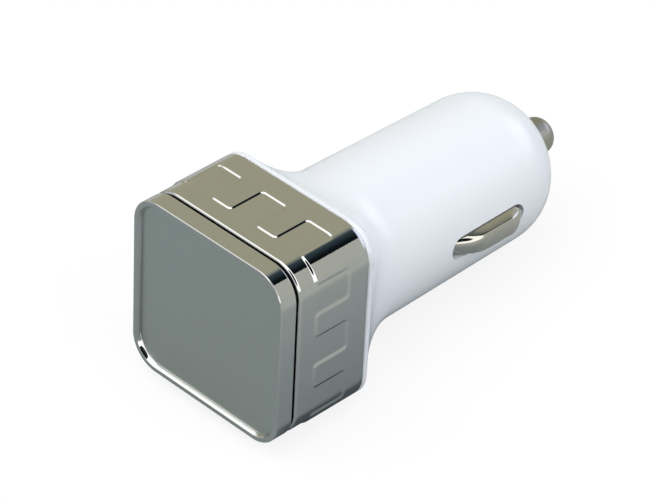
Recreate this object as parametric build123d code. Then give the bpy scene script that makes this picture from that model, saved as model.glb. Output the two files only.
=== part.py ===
from build123d import *
import math
import os

# A car charger plug lying on its side: a square chrome head on a round white barrel.
# Millimetres. Y runs along the plug from the head to the tip, X to the right, Z up.
# The origin is on the plug's axis, at the shoulder where the head ends and the neck begins.

# Head: trim ring, shadow gap and pull-off cover
HEAD_WIDTH = 25.2
HEAD_CORNER = 4.1
RING_LENGTH = 11.25
RING_WALL = 1.15
RING_EDGE = 0.45
SHADOW_GAP = 0.45
COVER_DEPTH = 2.55
COVER_EDGE = 0.12
LIP_CREST = 0.23
LIP_BEVEL = 0.55
LIP_ROUND = 0.15
PLATE_RECESS = 0.58
PLATE_THICK = 0.8
SPIGOT_LENGTH = 2.25
SPIGOT_WALL = 0.9

# Raised meander on the ring: the low notches on each side and the raised band round them
RELIEF = 0.17
RELIEF_INSET = 2.77
NOTCH_DEPTH = 5.28
NOTCH_WIDTH = 4.24
NOTCH_PITCH = 7.6
NOTCH_CORNER = 0.5
NOTCHES_PER_SIDE = 3

# White body: flange, neck, tapered barrel and domed nose
WALL = 1.5
FLANGE_PROUD = 0.15
FLANGE_THICK = 0.75
SHOULDER_ROUND = 0.6
SIDE_CROWN = 0.03
NECK_LENGTH = 8.6
NECK_HOLLOW = 3.2
NECK_ROUNDING = 2.3
NECK_SECTIONS = 7
BARREL_ROOT_DIAMETER = 20.74
BARREL_LENGTH = 23.0
BARREL_DRAFT = 0.95
NOSE_LENGTH = 8.43
NOSE_FLAT_RADIUS = 1.71
NOSE_WALL = 2.0
BORE_CLEARANCE = 0.1

# Card guides inside the collar
GUIDE_HEIGHT = 1.0
GUIDE_REACH = 1.2
GUIDE_LENGTH = 8.0

# Side contacts and their slots
SLOT_LENGTH = 13.0
SLOT_WIDTH = 3.2
SLOT_CENTRE = 23.35
CONTACT_CLEARANCE = 0.25
CONTACT_THICK = 0.4
CONTACT_STANDOUT = 1.4
CONTACT_HEAD_RISE = 3.9
CONTACT_HEAD_SLOPE = 37.0
CONTACT_NOSE_RISE = 3.3
CONTACT_NOSE_SLOPE = 28.5
CONTACT_SHOULDER = 3.0
CONTACT_EDGE = 0.65
TAIL_WIDTH = 1.8
TAIL_LENGTH = 6.0
FOOT_LENGTH = 1.5

# Tip contact, its spring and the spring's terminal
TIP_DIAMETER = 5.0
TIP_STANDOUT = 4.7
TIP_ROUND = 1.73
TIP_FLANGE_RADIUS = 3.8
TIP_FLANGE_THICK = 1.2
TIP_BOSS_RADIUS = 1.4
TIP_BOSS_LENGTH = 2.0
SPRING_WIRE = 0.45
SPRING_WIRE_SIDES = 6
SPRING_RADIUS = 2.1
SPRING_TURNS = 5
SPRING_SEAT_GAP = 0.05
TERMINAL_RADIUS = 3.0
TERMINAL_THICK = 0.5
TERMINAL_LEG = 4.0
TERMINAL_LEG_WIDTH = 3.0

# Port panel behind the cover
PANEL_RIM = 1.4
PANEL_FLOOR = 1.4
WELL_DEPTH = 2.8
WELL_WALL = 1.0
COVER_SEAT_GAP = 0.05
FIT_CLEARANCE = 0.1

# Circuit board
BOARD_THICK = 1.2
BOARD_GAP = 0.1
BOARD_WAIST_WIDTH = 15.2
BOARD_WAIST_LENGTH = 13.0
BOARD_TAIL_WIDTH = 11.2
BOARD_TAIL_LENGTH = 14.5
SOLDER_GAP = 0.1

# USB receptacles, one on each side of the board
PORT_WIDTH = 13.1
PORT_HEIGHT = 5.7
PORT_LENGTH = 13.6
PORT_CORNER = 0.8
PORT_SHEET = 0.3
PORT_WINDOW_WIDTH = 2.2
PORT_WINDOW_LENGTH = 3.6
PORT_WINDOW_PITCH = 6.2
PORT_WINDOW_INSET = 4.2
TONGUE_WIDTH = 11.1
TONGUE_THICK = 1.84
TONGUE_INSET = 1.4
TONGUE_OFFSET = 0.72
TONGUE_BLOCK = 3.4
STRIP_WIDTH = 1.0
STRIP_THICK = 0.25
STRIP_LENGTH = 7.4
STRIP_PLACES = (-3.5, -1.0, 1.0, 3.5)

# Parts soldered to the board: the cans and the diode from its end, the others along the plug
CAN_GAP = 0.1
CAN_END_GAP = 0.3
CAN_GROOVE = 0.3
CAN_GROOVE_INSET = 1.5
LEAD_RADIUS = 0.25
LEAD_REACH = 1.0
INPUT_CAN_DIAMETER = 6.3
INPUT_CAN_LENGTH = 9.0
INPUT_CAN_PITCH = 2.5
OUTPUT_CAN_DIAMETER = 5.0
OUTPUT_CAN_LENGTH = 7.0
OUTPUT_CAN_PITCH = 2.0
CHIP_WIDTH = 3.9
CHIP_LENGTH = 4.9
CHIP_HEIGHT = 1.4
CHIP_LIFT = 0.15
CHIP_CENTRE = 8.0
CHIP_LEGS_PER_SIDE = 4
CHIP_LEG_PITCH = 1.27
CHIP_LEG_WIDTH = 0.42
CHIP_LEG_THICK = 0.2
CHIP_LEG_SPAN = 6.0
CHIP_LEG_FOOT = 0.6
DRUM_DIAMETER = 8.0
DRUM_HEIGHT = 5.0
DRUM_WAIST = 4.4
DRUM_FLANGE = 0.9
DRUM_CENTRE = 9.6
WINDING_DEPTH = 1.4
WINDING_GAP = 0.05
DIODE_WIDTH = 2.6
DIODE_LENGTH = 4.3
DIODE_HEIGHT = 2.2
DIODE_TAB = 0.5
DIODE_SIDE = 3.9
DIODE_INSET = 9.9
CHIP_PART_WIDTH = 1.25
CHIP_PART_LENGTH = 2.0
CHIP_PART_HEIGHT = 0.6
CHIP_PART_SIDE = 5.6
CHIP_PART_PLACES = (5.5, 8.5, 11.5)

# Stations along the plug
RING_BACK = -FLANGE_THICK
RING_FRONT = RING_BACK - RING_LENGTH
COVER_BACK = RING_FRONT - SHADOW_GAP
COVER_FRONT = COVER_BACK - COVER_DEPTH
PANEL_FRONT = COVER_BACK + COVER_SEAT_GAP
COLLAR_FRONT = PANEL_FRONT + PANEL_RIM
WELL_FLOOR = PANEL_FRONT + WELL_DEPTH
PANEL_BACK = WELL_FLOOR + PANEL_FLOOR
NOSE_START = NECK_LENGTH + BARREL_LENGTH
NOSE_END = NOSE_START + NOSE_LENGTH
CAVITY_END = NOSE_END - NOSE_WALL
BOARD_FRONT = PANEL_BACK + BOARD_GAP
BOARD_END = BOARD_WAIST_LENGTH + BOARD_TAIL_LENGTH

# Widths and radii that the pieces share
LIP_WIDTH = LIP_CREST + LIP_BEVEL
FLANGE_WIDTH = HEAD_WIDTH + 2 * FLANGE_PROUD
COLLAR_WIDTH = HEAD_WIDTH - 2 * (RING_WALL + FIT_CLEARANCE)
COLLAR_CORNER = HEAD_CORNER - RING_WALL - FIT_CLEARANCE
POCKET_WIDTH = COLLAR_WIDTH - 2 * WALL
POCKET_CORNER = COLLAR_CORNER - WALL / 4
WELL_WIDTH = POCKET_WIDTH - 2 * (FIT_CLEARANCE + WELL_WALL)
WELL_CORNER = POCKET_CORNER - WELL_WALL / 4
ROOT_RADIUS = BARREL_ROOT_DIAMETER / 2
NOSE_RADIUS = ROOT_RADIUS - BARREL_LENGTH * math.tan(math.radians(BARREL_DRAFT))
BOARD_HEAD_WIDTH = POCKET_WIDTH - 2 * FIT_CLEARANCE
PORT_CENTRE = BOARD_THICK / 2 + SOLDER_GAP + PORT_HEIGHT / 2
TAIL_OUTER = BOARD_WAIST_WIDTH / 2 + SOLDER_GAP + CONTACT_THICK


def slab(profile, start, end):
    """A profile drawn across the plug, carried along it from start to end."""
    return extrude(Plane.XZ.offset(-start) * profile, start - end)


def rounded_square(width, corner):
    return RectangleRounded(width, width, corner)


def turned(outline):
    """A closed outline of radius and distance along the plug, turned about the plug's axis."""
    return revolve(make_face(outline), Axis.Y)


def crowned_square(half, flat, crown):
    """Across section of the body: four bowed sides, each met by corner arcs tangent to it."""
    bow = (flat**2 + crown**2) / (2 * crown)
    side = half - crown
    share = (half - bow) / (flat - side + half - bow)
    corner = share * flat + (1 - share) * bow / math.sqrt(2)
    quarter = Curve() + [
        ThreePointArc((side, -flat), (half, 0), (side, flat)),
        ThreePointArc((side, flat), (corner, corner), (flat, side)),
    ]
    return make_face(Curve() + [Rot(0, 0, 90 * turn) * quarter for turn in range(4)])


def neck(half, flat, radius, start, end, ruled=False):
    """Loft from a square of the given half width to a circle, hollow-sided and rounding as it goes.

    A ruled neck is straight between its sections.
    """
    eighth = math.radians(22.5)
    sections = []
    for step in range(NECK_SECTIONS + 1):
        left = 1 - step / NECK_SECTIONS
        squareness = left**NECK_ROUNDING
        section = crowned_square(
            radius + (half - radius) * left**NECK_HOLLOW,
            radius * math.sin(eighth) * (1 - squareness) + flat * squareness,
            radius * (1 - math.cos(eighth)) * (1 - squareness) + SIDE_CROWN * squareness,
        )
        sections.append(Plane.XZ.offset(left * (end - start) - end) * section)
    return loft(sections, ruled=ruled)


def make_body_shell():
    flange_half = FLANGE_WIDTH / 2
    flange_flat = flange_half - HEAD_CORNER
    flange = slab(crowned_square(flange_half, flange_flat, SIDE_CROWN), RING_BACK, 0)
    shoulder = flange + neck(flange_half, flange_flat, ROOT_RADIUS, 0, NECK_LENGTH)
    shoulder = fillet(shoulder.edges().filter_by_position(Axis.Y, -0.01, 0.01), SHOULDER_ROUND)

    barrel = turned(
        Curve()
        + [
            Polyline((0, NOSE_END), (0, NECK_LENGTH), (ROOT_RADIUS, NECK_LENGTH), (NOSE_RADIUS, NOSE_START)),
            EllipticalCenterArc(
                (NOSE_FLAT_RADIUS, NOSE_START), NOSE_RADIUS - NOSE_FLAT_RADIUS, NOSE_LENGTH, arc_size=90
            ),
            Line((NOSE_FLAT_RADIUS, NOSE_END), (0, NOSE_END)),
        ]
    )
    collar = slab(rounded_square(COLLAR_WIDTH, COLLAR_CORNER), COLLAR_FRONT, RING_BACK)

    bore_root = ROOT_RADIUS - WALL
    bore_end = NOSE_RADIUS - WALL
    seat_radius = TIP_FLANGE_RADIUS + 2 * BORE_CLEARANCE
    pocket = slab(rounded_square(POCKET_WIDTH, POCKET_CORNER), COLLAR_FRONT, 0)
    pocket_half = POCKET_WIDTH / 2
    funnel = neck(pocket_half, pocket_half - POCKET_CORNER, bore_root, 0, NECK_LENGTH, ruled=True)
    cavity = turned(
        Polyline(
            (0, NECK_LENGTH),
            (bore_root, NECK_LENGTH),
            (bore_end, NOSE_START),
            (seat_radius, CAVITY_END),
            (0, CAVITY_END),
            close=True,
        )
    )
    tip_bore = slab(Circle(TIP_DIAMETER / 2 + BORE_CLEARANCE), CAVITY_END, NOSE_END)
    slot = Plane.YZ * Pos(SLOT_CENTRE, 0) * SlotOverall(SLOT_LENGTH, SLOT_WIDTH)
    slots = extrude(slot, HEAD_WIDTH / 2, both=True)

    shell = shoulder + barrel + collar - pocket - funnel - cavity - tip_bore - slots
    guide_x = pocket_half - GUIDE_REACH / 2
    guide_y = BOARD_FRONT + GUIDE_LENGTH / 2
    guide_z = BOARD_THICK / 2 + SOLDER_GAP + GUIDE_HEIGHT / 2
    for x in (-guide_x, guide_x):
        for z in (-guide_z, guide_z):
            shell += Pos(x, guide_y, z) * Box(GUIDE_REACH, GUIDE_LENGTH, GUIDE_HEIGHT)
    return shell


def make_trim_ring():
    low = slab(rounded_square(HEAD_WIDTH, HEAD_CORNER), RING_FRONT, RING_BACK)
    low = fillet(low.faces().sort_by(Axis.Y)[0].edges(), RING_EDGE)

    line_front = RING_FRONT + RELIEF_INSET
    line_back = line_front + NOTCH_DEPTH
    raised = slab(
        rounded_square(HEAD_WIDTH + 2 * RELIEF, HEAD_CORNER + RELIEF), line_front, RING_BACK
    )
    notch = Pos(0, (line_front + line_back) / 2) * Rectangle(NOTCH_WIDTH, NOTCH_DEPTH)
    mouth_width = NOTCH_WIDTH + 3 * NOTCH_CORNER
    notch += Pos(0, line_front - RELIEF_INSET / 2) * Rectangle(mouth_width, RELIEF_INSET)
    notch_corners = notch.vertices().filter_by(lambda corner: abs(corner.X) < mouth_width / 2 - NOTCH_CORNER)
    notch = fillet(notch_corners, NOTCH_CORNER)
    cutter = Pos(0, 0, HEAD_WIDTH / 2 - RING_WALL / 2) * extrude(notch, RING_WALL)
    middle = (NOTCHES_PER_SIDE - 1) / 2
    for turn in range(4):
        for place in range(NOTCHES_PER_SIDE):
            raised -= Rot(0, 90 * turn, 0) * Pos((place - middle) * NOTCH_PITCH, 0, 0) * cutter

    inner_width = HEAD_WIDTH - 2 * RING_WALL
    opening = slab(rounded_square(inner_width, HEAD_CORNER - RING_WALL), RING_FRONT, RING_BACK)
    return raised + low - opening


def make_front_frame():
    recess_width = HEAD_WIDTH - 2 * LIP_WIDTH
    recess_corner = HEAD_CORNER - LIP_WIDTH
    plate_back = COVER_FRONT + PLATE_RECESS + PLATE_THICK
    frame = slab(rounded_square(HEAD_WIDTH, HEAD_CORNER), COVER_FRONT, COVER_BACK)
    frame = fillet(frame.faces().sort_by(Axis.Y)[-1].edges(), COVER_EDGE)
    frame = fillet(frame.faces().sort_by(Axis.Y)[0].edges(), LIP_ROUND)
    frame -= slab(rounded_square(recess_width, recess_corner), COVER_FRONT, plate_back)
    frame = chamfer(frame.faces().sort_by(Axis.Y)[0].inner_wires()[0].edges(), LIP_BEVEL)

    spigot_width = WELL_WIDTH - 2 * FIT_CLEARANCE
    spigot_corner = WELL_CORNER - FIT_CLEARANCE
    spigot = slab(rounded_square(spigot_width, spigot_corner), COVER_BACK, COVER_BACK + SPIGOT_LENGTH)
    hollow_width = spigot_width - 2 * SPIGOT_WALL
    hollow_corner = spigot_corner - SPIGOT_WALL / 2
    spigot -= slab(rounded_square(hollow_width, hollow_corner), COVER_BACK, COVER_BACK + SPIGOT_LENGTH)
    return frame + spigot


def make_front_plate():
    width = HEAD_WIDTH - 2 * (LIP_WIDTH + FIT_CLEARANCE)
    corner = HEAD_CORNER - LIP_WIDTH - FIT_CLEARANCE
    front = COVER_FRONT + PLATE_RECESS
    return slab(rounded_square(width, corner), front, front + PLATE_THICK)


def make_port_panel():
    rim = slab(rounded_square(COLLAR_WIDTH, COLLAR_CORNER), PANEL_FRONT, COLLAR_FRONT)
    skirt_width = POCKET_WIDTH - 2 * FIT_CLEARANCE
    skirt = slab(rounded_square(skirt_width, POCKET_CORNER - FIT_CLEARANCE), COLLAR_FRONT, PANEL_BACK)
    panel = rim + skirt - slab(rounded_square(WELL_WIDTH, WELL_CORNER), PANEL_FRONT, WELL_FLOOR)
    mouth = RectangleRounded(
        PORT_WIDTH + 2 * FIT_CLEARANCE, PORT_HEIGHT + 2 * FIT_CLEARANCE, PORT_CORNER + FIT_CLEARANCE
    )
    for z in (-PORT_CENTRE, PORT_CENTRE):
        panel -= slab(Pos(0, z) * mouth, WELL_FLOOR, PANEL_BACK)
    return panel


def make_circuit_board():
    waist_length = BOARD_WAIST_LENGTH
    outline = Pos(0, BOARD_FRONT / 2) * Rectangle(BOARD_HEAD_WIDTH, -BOARD_FRONT)
    outline += Pos(0, waist_length / 2) * Rectangle(BOARD_WAIST_WIDTH, waist_length)
    outline += Pos(0, waist_length + BOARD_TAIL_LENGTH / 2) * Rectangle(BOARD_TAIL_WIDTH, BOARD_TAIL_LENGTH)
    return extrude(outline, BOARD_THICK / 2, both=True)


def make_port_pieces():
    """One USB receptacle above the board: its folded shell, its plastic tongue and its four strips."""
    front = WELL_FLOOR
    back = front + PORT_LENGTH
    outer = RectangleRounded(PORT_WIDTH, PORT_HEIGHT, PORT_CORNER)
    room_width = PORT_WIDTH - 2 * PORT_SHEET
    room_height = PORT_HEIGHT - 2 * PORT_SHEET
    room = RectangleRounded(room_width, room_height, PORT_CORNER - PORT_SHEET)
    lift = Pos(0, PORT_CENTRE)
    shell = slab(lift * outer, front, back) - slab(lift * room, front, back)
    window = Box(PORT_WINDOW_WIDTH, PORT_WINDOW_LENGTH, 2 * PORT_HEIGHT)
    window_y = front + PORT_WINDOW_INSET + PORT_WINDOW_LENGTH / 2
    for x in (-PORT_WINDOW_PITCH / 2, PORT_WINDOW_PITCH / 2):
        shell -= Pos(x, window_y, PORT_CENTRE) * window

    block_front = back - TONGUE_BLOCK
    block = RectangleRounded(
        room_width - FIT_CLEARANCE, room_height - FIT_CLEARANCE, PORT_CORNER - PORT_SHEET - FIT_CLEARANCE / 2
    )
    tongue_z = PORT_CENTRE + TONGUE_OFFSET
    tongue = slab(lift * block, block_front, back)
    tongue += slab(
        Pos(0, tongue_z) * Rectangle(TONGUE_WIDTH, TONGUE_THICK), front + TONGUE_INSET, block_front
    )

    strip_y = block_front - STRIP_LENGTH / 2
    strip_z = tongue_z - TONGUE_THICK / 2 - STRIP_THICK / 2
    strip = Box(STRIP_WIDTH, STRIP_LENGTH, STRIP_THICK)
    strips = Compound([Pos(x, strip_y, strip_z) * strip for x in STRIP_PLACES])
    return shell, tongue, strips


def make_side_contact():
    """Right-hand contact: a hollow pressed bump in the slot, with a leaf tail and a stop foot inside."""
    crest = NOSE_RADIUS + CONTACT_STANDOUT
    base = TAIL_OUTER - CONTACT_THICK
    slot_start = SLOT_CENTRE - SLOT_LENGTH / 2
    slot_end = SLOT_CENTRE + SLOT_LENGTH / 2

    def bump(inset):
        """The bump with its walls and crest drawn in by inset."""
        margin = 2 * (CONTACT_CLEARANCE + inset)
        plan = SlotOverall(SLOT_LENGTH - margin, SLOT_WIDTH - margin)
        prism = extrude(Plane.YZ.offset(base) * Pos(SLOT_CENTRE, 0) * plan, crest)
        top = crest - inset
        head_corner = slot_start + CONTACT_HEAD_RISE
        nose_corner = slot_end - CONTACT_NOSE_RISE
        drop = top - base
        head_run = drop / math.tan(math.radians(CONTACT_HEAD_SLOPE))
        nose_run = drop / math.tan(math.radians(CONTACT_NOSE_SLOPE))
        side = Polygon(
            (base, head_corner - head_run),
            (base, nose_corner + nose_run),
            (top, nose_corner),
            (top, head_corner),
            align=None,
        )
        side = fillet(side.vertices().group_by(Axis.X)[-1], CONTACT_SHOULDER)
        return prism & extrude(side, SLOT_WIDTH, both=True)

    outer = bump(0)
    crest_edges = outer.edges().filter_by(lambda edge: edge.center().X > NOSE_RADIUS - WALL)
    outer = fillet(crest_edges.filter_by(lambda edge: abs(edge.center().Z) > TAIL_WIDTH / 4), CONTACT_EDGE)
    contact = outer - bump(CONTACT_THICK)

    tail_start = slot_start - TAIL_LENGTH
    tail_end = slot_start + CONTACT_CLEARANCE + CONTACT_THICK
    foot_start = slot_end - CONTACT_CLEARANCE - CONTACT_THICK
    foot_end = slot_end + FOOT_LENGTH
    strip_x = base + CONTACT_THICK / 2
    for start, end in ((tail_start, tail_end), (foot_start, foot_end)):
        contact += Pos(strip_x, (start + end) / 2, 0) * Box(CONTACT_THICK, end - start, TAIL_WIDTH)
    return contact


def make_tip_contact():
    flange_front = CAVITY_END - BORE_CLEARANCE
    flange_back = flange_front - TIP_FLANGE_THICK
    tip = slab(Circle(TIP_DIAMETER / 2), flange_back, NOSE_END + TIP_STANDOUT)
    tip = fillet(tip.faces().sort_by(Axis.Y)[-1].edges(), TIP_ROUND)
    tip += slab(Circle(TIP_FLANGE_RADIUS), flange_back, flange_front)
    return tip + slab(Circle(TIP_BOSS_RADIUS), flange_back - TIP_BOSS_LENGTH, flange_back)


def make_tip_spring():
    start = BOARD_END + TERMINAL_THICK + SPRING_SEAT_GAP + SPRING_WIRE / 2
    end = CAVITY_END - BORE_CLEARANCE - TIP_FLANGE_THICK - SPRING_SEAT_GAP - SPRING_WIRE / 2
    coil = Helix((end - start) / SPRING_TURNS, end - start, SPRING_RADIUS, (0, start, 0), (0, 1, 0))
    wire = Plane(coil @ 0, z_dir=coil % 0) * RegularPolygon(SPRING_WIRE / 2, SPRING_WIRE_SIDES)
    return sweep(wire, coil, is_frenet=True)


def make_spring_terminal():
    terminal = slab(Circle(TERMINAL_RADIUS), BOARD_END, BOARD_END + TERMINAL_THICK)
    leg = Box(TERMINAL_LEG_WIDTH, TERMINAL_LEG, TERMINAL_THICK)
    for z in (-1, 1):
        leg_z = z * (BOARD_THICK + TERMINAL_THICK) / 2
        terminal += Pos(0, BOARD_END - TERMINAL_LEG / 2, leg_z) * leg
    return terminal


def make_can(diameter, length, pitch):
    """A wound capacitor lying before the terminal: a rolled can and two leads bent down to the board."""
    radius = diameter / 2
    front = BOARD_END - TERMINAL_LEG - CAN_END_GAP - length
    groove = front + CAN_GROOVE_INSET
    can = turned(
        Polyline(
            (0, front),
            (radius - CAN_GROOVE, front),
            (radius, front + CAN_GROOVE),
            (radius, groove - CAN_GROOVE),
            (radius - CAN_GROOVE, groove),
            (radius, groove + CAN_GROOVE),
            (radius, front + length),
            (0, front + length),
            close=True,
        )
    )
    height = radius + CAN_GAP
    for x in (-pitch / 2, pitch / 2):
        can += slab(Pos(x, 0) * Circle(LEAD_RADIUS), front - LEAD_REACH, front)
        drop = Cylinder(LEAD_RADIUS, height + LEAD_RADIUS, align=(Align.CENTER, Align.CENTER, Align.MAX))
        can += Pos(x, front - LEAD_REACH, LEAD_RADIUS) * drop
    return Pos(0, 0, BOARD_THICK / 2 + height) * can


def make_converter_chip():
    """Eight-legged chip on the board's upper side."""
    bottom = BOARD_THICK / 2 + CHIP_LIFT
    chip = Pos(0, CHIP_CENTRE, bottom + CHIP_HEIGHT / 2) * Box(CHIP_WIDTH, CHIP_LENGTH, CHIP_HEIGHT)
    shank_z = bottom + CHIP_HEIGHT / 2
    foot_z = BOARD_THICK / 2
    foot_end = CHIP_LEG_SPAN / 2
    knee = foot_end - CHIP_LEG_FOOT
    sheet = make_face(
        Polyline(
            (CHIP_WIDTH / 4, shank_z),
            (knee, shank_z),
            (knee, foot_z + CHIP_LEG_THICK),
            (foot_end, foot_z + CHIP_LEG_THICK),
            (foot_end, foot_z),
            (knee - CHIP_LEG_THICK, foot_z),
            (knee - CHIP_LEG_THICK, shank_z - CHIP_LEG_THICK),
            (CHIP_WIDTH / 4, shank_z - CHIP_LEG_THICK),
            close=True,
        )
    )
    middle = (CHIP_LEGS_PER_SIDE - 1) / 2
    for place in range(CHIP_LEGS_PER_SIDE):
        y = CHIP_CENTRE + (place - middle) * CHIP_LEG_PITCH
        leg = slab(sheet, y - CHIP_LEG_WIDTH / 2, y + CHIP_LEG_WIDTH / 2)
        chip += leg + mirror(leg, Plane.YZ)
    return chip


def make_inductor():
    """Drum core under the board and the winding in its waist."""
    middle = Pos(0, DRUM_CENTRE, -BOARD_THICK / 2 - SOLDER_GAP - DRUM_HEIGHT / 2)
    room_height = DRUM_HEIGHT - 2 * DRUM_FLANGE
    room = Cylinder(DRUM_DIAMETER / 2, room_height) - Cylinder(DRUM_WAIST / 2, room_height)
    core = Cylinder(DRUM_DIAMETER / 2, DRUM_HEIGHT) - room
    winding_height = room_height - 2 * WINDING_GAP
    inner = DRUM_WAIST / 2 + WINDING_GAP
    winding = Cylinder(inner + WINDING_DEPTH, winding_height) - Cylinder(inner, winding_height)
    return middle * core, middle * winding


def make_rectifier_diode():
    """Flat diode under the board, with its two solder tabs."""
    y = BOARD_END - DIODE_INSET
    top = -BOARD_THICK / 2
    diode = Pos(DIODE_SIDE, y, top - DIODE_HEIGHT / 2) * Box(DIODE_WIDTH, DIODE_LENGTH, DIODE_HEIGHT)
    tab = Box(DIODE_WIDTH / 2, DIODE_LENGTH + 2 * DIODE_TAB, DIODE_TAB)
    return diode + Pos(DIODE_SIDE, y, top - DIODE_TAB / 2) * tab


def make_chip_parts(side):
    """Small soldered blocks in two rows on one face of the board: 1 above, -1 below."""
    block = Box(CHIP_PART_WIDTH, CHIP_PART_LENGTH, CHIP_PART_HEIGHT)
    z = side * (BOARD_THICK + CHIP_PART_HEIGHT) / 2
    rows = (-CHIP_PART_SIDE, CHIP_PART_SIDE)
    return Compound([Pos(x, y, z) * block for x in rows for y in CHIP_PART_PLACES])


port_shell, port_tongue, port_strips = make_port_pieces()
right_contact = make_side_contact()
drum_core, drum_winding = make_inductor()
underside = Rot(0, 180, 0)
pieces = {
    "front_frame": make_front_frame(),
    "front_plate": make_front_plate(),
    "port_panel": make_port_panel(),
    "trim_ring": make_trim_ring(),
    "body_shell": make_body_shell(),
    "side_contact_right": right_contact,
    "side_contact_left": mirror(right_contact, Plane.YZ),
    "tip_contact": make_tip_contact(),
    "tip_spring": make_tip_spring(),
    "spring_terminal": make_spring_terminal(),
    "circuit_board": make_circuit_board(),
    "usb_shell_upper": port_shell,
    "usb_shell_lower": underside * port_shell,
    "usb_tongue_upper": port_tongue,
    "usb_tongue_lower": underside * port_tongue,
    "usb_strips_upper": port_strips,
    "usb_strips_lower": underside * port_strips,
    "converter_chip": make_converter_chip(),
    "inductor_core": drum_core,
    "inductor_winding": drum_winding,
    "input_capacitor": make_can(INPUT_CAN_DIAMETER, INPUT_CAN_LENGTH, INPUT_CAN_PITCH),
    "output_capacitor": underside * make_can(OUTPUT_CAN_DIAMETER, OUTPUT_CAN_LENGTH, OUTPUT_CAN_PITCH),
    "rectifier_diode": make_rectifier_diode(),
    "chip_resistors": make_chip_parts(1),
    "chip_capacitors": make_chip_parts(-1),
}

os.makedirs("parts", exist_ok=True)
for name, piece in pieces.items():
    export_step(piece, f"parts/{name}.step")
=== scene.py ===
import math

import bmesh
import bpy
import numpy as np
from mathutils import Matrix, Vector


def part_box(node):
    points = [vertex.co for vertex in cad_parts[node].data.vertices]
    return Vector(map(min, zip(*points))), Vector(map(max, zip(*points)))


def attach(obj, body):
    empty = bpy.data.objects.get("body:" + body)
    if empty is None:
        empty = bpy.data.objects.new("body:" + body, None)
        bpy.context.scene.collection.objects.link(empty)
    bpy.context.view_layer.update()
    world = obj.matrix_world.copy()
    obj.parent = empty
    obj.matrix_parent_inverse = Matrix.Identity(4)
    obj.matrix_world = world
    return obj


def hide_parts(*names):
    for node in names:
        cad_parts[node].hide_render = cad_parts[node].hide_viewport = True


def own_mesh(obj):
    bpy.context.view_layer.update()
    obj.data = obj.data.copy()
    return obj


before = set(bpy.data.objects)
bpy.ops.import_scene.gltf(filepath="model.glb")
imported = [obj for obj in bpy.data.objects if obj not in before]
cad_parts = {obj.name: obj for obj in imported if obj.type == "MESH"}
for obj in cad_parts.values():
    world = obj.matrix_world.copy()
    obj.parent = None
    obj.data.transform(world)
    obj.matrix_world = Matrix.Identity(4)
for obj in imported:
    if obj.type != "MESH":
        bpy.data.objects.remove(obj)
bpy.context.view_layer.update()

MM = 0.001


# Circuit board and the parts soldered to it.
# A glass-fibre board in green solder resist carries a converter chip, a drum choke, two wound
# capacitors, a diode and small chip parts. It slides into guides in the collar, out of sight.
FINE_GRAINS_PER_SLOW = 9.0
SLOW_DETAIL = 2.0
FINE_DETAIL = 3.0


def put(tree, kind, inputs=None, **settings):
    """One shader node: settings are its properties, inputs its sockets' values or feeding sockets."""
    made = tree.nodes.new(kind)
    for name, value in settings.items():
        setattr(made, name, value)
    for name, value in (inputs or {}).items():
        if isinstance(value, bpy.types.NodeSocket):
            tree.links.new(value, made.inputs[name])
        else:
            made.inputs[name].default_value = value
    return made


def make_grain_group():
    """Grain of a moulded, plated or rolled surface, in the piece's own coordinates.

    A slow noise mixes Light into Dark, a fine one moves the roughness from Smooth to Rough, and
    their sum is the height.
    """
    group = bpy.data.node_groups.new("surface_grain", "ShaderNodeTree")
    for name, kind in (
        ("Light", "NodeSocketColor"),
        ("Dark", "NodeSocketColor"),
        ("Scale", "NodeSocketFloat"),
        ("Smooth", "NodeSocketFloat"),
        ("Rough", "NodeSocketFloat"),
    ):
        group.interface.new_socket(name, in_out="INPUT", socket_type=kind)
    for name, kind in (
        ("Color", "NodeSocketColor"),
        ("Roughness", "NodeSocketFloat"),
        ("Height", "NodeSocketFloat"),
    ):
        group.interface.new_socket(name, in_out="OUTPUT", socket_type=kind)
    given = put(group, "NodeGroupInput").outputs
    place = put(group, "ShaderNodeTexCoord").outputs["Object"]
    slow = put(
        group,
        "ShaderNodeTexNoise",
        {"Vector": place, "Scale": given["Scale"], "Detail": SLOW_DETAIL},
    )
    fine_scale = put(
        group,
        "ShaderNodeMath",
        {0: given["Scale"], 1: FINE_GRAINS_PER_SLOW},
        operation="MULTIPLY",
    )
    fine = put(
        group,
        "ShaderNodeTexNoise",
        {"Vector": place, "Scale": fine_scale.outputs[0], "Detail": FINE_DETAIL},
    )
    colour = put(
        group,
        "ShaderNodeMixRGB",
        {"Fac": slow.outputs["Fac"], "Color1": given["Dark"], "Color2": given["Light"]},
    )
    roughness = put(
        group,
        "ShaderNodeMapRange",
        {"Value": fine.outputs["Fac"], "To Min": given["Smooth"], "To Max": given["Rough"]},
    )
    height = put(group, "ShaderNodeMath", {0: slow.outputs["Fac"], 1: fine.outputs["Fac"]})
    put(
        group,
        "NodeGroupOutput",
        {"Color": colour.outputs["Color"], "Roughness": roughness.outputs[0], "Height": height.outputs[0]},
    )
    return group


GRAIN = make_grain_group()


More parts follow.
